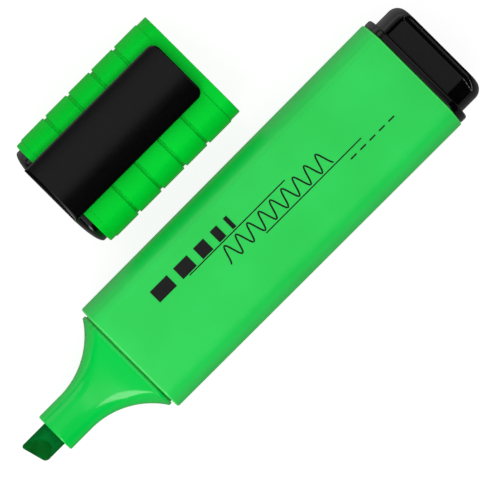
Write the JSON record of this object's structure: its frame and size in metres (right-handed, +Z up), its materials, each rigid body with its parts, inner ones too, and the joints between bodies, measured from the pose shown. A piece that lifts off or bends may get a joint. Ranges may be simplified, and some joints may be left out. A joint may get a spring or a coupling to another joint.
{
  "type": "highlighter pen",
  "caption": "Flat highlighter pen with a slanted chisel nib in a flared nose, a sunk-panel end plug, and a ribbed pull-off cap with a wide pocket clip lying beside it.",
  "frame": {"origin": "on the surface the pen lies on, under the middle of the barrel's length and width", "axes": "+X along the pen from nib to end plug, +Y across its broad face towards the loose cap, +Z up, out of the broad face"},
  "size_m": [0.1094, 0.0566, 0.0184],
  "materials": {
    "barrel_plastic": "satin moulded polypropylene",
    "nose_plastic": "glossy moulded polypropylene",
    "cap_plastic": "semi-gloss moulded polypropylene",
    "black_plastic": "glossy moulded plastic",
    "nib_fibre": "bonded polyester fibre soaked in ink",
    "reservoir_fibre": "soft polyester fibre soaked in ink",
    "film": "clear polypropylene film",
    "seal_plastic": "natural moulded polyethylene"
  },
  "bodies": {
    "pen": {"barrel": "barrel_plastic", "nose_section": "nose_plastic", "nib": "nib_fibre", "ink_reservoir": "reservoir_fibre", "reservoir_film": "film", "end_plug": "black_plastic"},
    "cap": {"cap_sleeve": "cap_plastic", "cap_top": "black_plastic", "cap_inner_seal": "seal_plastic"},
    "clip": {"cap_clip": "black_plastic"}
  },
  "joints": [
    {"name": "cap_slide", "type": "slide", "parent": "pen", "child": "cap", "axis": [-1, 0, 0], "range_m": [0, 0.076]},
    {"name": "clip_flex", "type": "hinge", "parent": "cap", "child": "clip", "pos_m": [-0.026, 0.032, 0.01765], "axis": [0, -1, 0], "range_deg": [0, 6], "stiffness_Nm_per_rad": 1.5}
  ]
}
